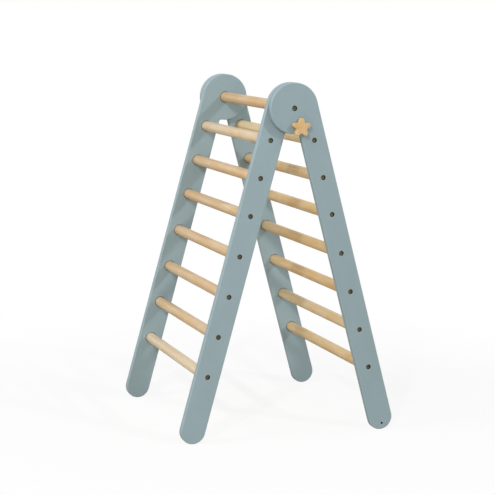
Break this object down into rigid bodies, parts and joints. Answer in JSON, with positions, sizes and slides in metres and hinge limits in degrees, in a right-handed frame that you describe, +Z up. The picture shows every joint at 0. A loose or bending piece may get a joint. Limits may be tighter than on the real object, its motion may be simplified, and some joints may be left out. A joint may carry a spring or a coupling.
{
  "type": "toddler climbing frame",
  "caption": "Folding A-shaped wooden climbing frame: two ladders of round rungs between painted keyhole boards, hinged at the top rung and clamped by a star-shaped knob.",
  "frame": {"origin": "on the floor, midway between the feet and under the pivot axis, centred on the reach from the star knob's front to the far board's outer face", "axes": "+Z up, Y along the rungs with the knob on the -Y side, outer ladder on +X and inner ladder on -X"},
  "size_m": [0.6592, 0.6522, 1.0405],
  "materials": {
    "blue_grey_paint": "satin paint",
    "rung_wood": "clear satin",
    "star_wood": "clear satin",
    "bronze_screws": "dark satin",
    "nylon_washers": "matt",
    "zinc_steel": "zinc plated",
    "brass_insert": "turned"
  },
  "bodies": {
    "outer_ladder": {"outer_board_near": "blue_grey_paint", "outer_board_far": "blue_grey_paint", "outer_rung_1": "rung_wood", "outer_rung_2": "rung_wood", "outer_rung_3": "rung_wood", "outer_rung_4": "rung_wood", "outer_rung_5": "rung_wood", "outer_rung_6": "rung_wood", "outer_rung_7": "rung_wood", "outer_screw_1_near": "bronze_screws", "outer_screw_1_far": "bronze_screws", "outer_screw_2_near": "bronze_screws", "outer_screw_2_far": "bronze_screws", "outer_screw_3_near": "bronze_screws", "outer_screw_3_far": "bronze_screws", "outer_screw_4_near": "bronze_screws", "outer_screw_4_far": "bronze_screws", "outer_screw_5_near": "bronze_screws", "outer_screw_5_far": "bronze_screws", "outer_screw_6_near": "bronze_screws", "outer_screw_6_far": "bronze_screws", "outer_screw_7_near": "bronze_screws", "outer_screw_7_far": "bronze_screws", "pivot_washer_near": "nylon_washers", "pivot_washer_far": "nylon_washers", "lock_bolt": "zinc_steel", "lock_spacer": "nylon_washers"},
    "inner_ladder": {"inner_board_near": "blue_grey_paint", "inner_board_far": "blue_grey_paint", "top_rung": "rung_wood", "inner_rung_1": "rung_wood", "inner_rung_2": "rung_wood", "inner_rung_3": "rung_wood", "inner_rung_4": "rung_wood", "inner_rung_5": "rung_wood", "inner_rung_6": "rung_wood", "inner_rung_7": "rung_wood", "inner_screw_1_near": "bronze_screws", "inner_screw_1_far": "bronze_screws", "inner_screw_2_near": "bronze_screws", "inner_screw_2_far": "bronze_screws", "inner_screw_3_near": "bronze_screws", "inner_screw_3_far": "bronze_screws", "inner_screw_4_near": "bronze_screws", "inner_screw_4_far": "bronze_screws", "inner_screw_5_near": "bronze_screws", "inner_screw_5_far": "bronze_screws", "inner_screw_6_near": "bronze_screws", "inner_screw_6_far": "bronze_screws", "inner_screw_7_near": "bronze_screws", "inner_screw_7_far": "bronze_screws", "pivot_bolt_near": "bronze_screws", "pivot_bolt_far": "bronze_screws"},
    "washer": {"knob_washer": "zinc_steel"},
    "knob": {"star_knob": "star_wood", "knob_insert": "brass_insert"}
  },
  "joints": [
    {"name": "fold", "type": "hinge", "parent": "outer_ladder", "child": "inner_ladder", "pos_m": [0, 0.0091, 0.96733], "axis": [0, -1, 0], "range_deg": [0, 30.66]},
    {"name": "knob_travel", "type": "slide", "parent": "outer_ladder", "child": "washer", "axis": [0, -1, 0], "range_m": [0, 0.0013]},
    {"name": "knob_turn", "type": "hinge", "parent": "washer", "child": "knob", "pos_m": [0.0168, -0.3079, 0.91324], "axis": [0, -1, 0], "range_deg": [0, 360]}
  ],
  "couplings": [
    {"joint": "knob_travel", "follows": "knob_turn", "m_per_rad": 0.00019894}
  ]
}
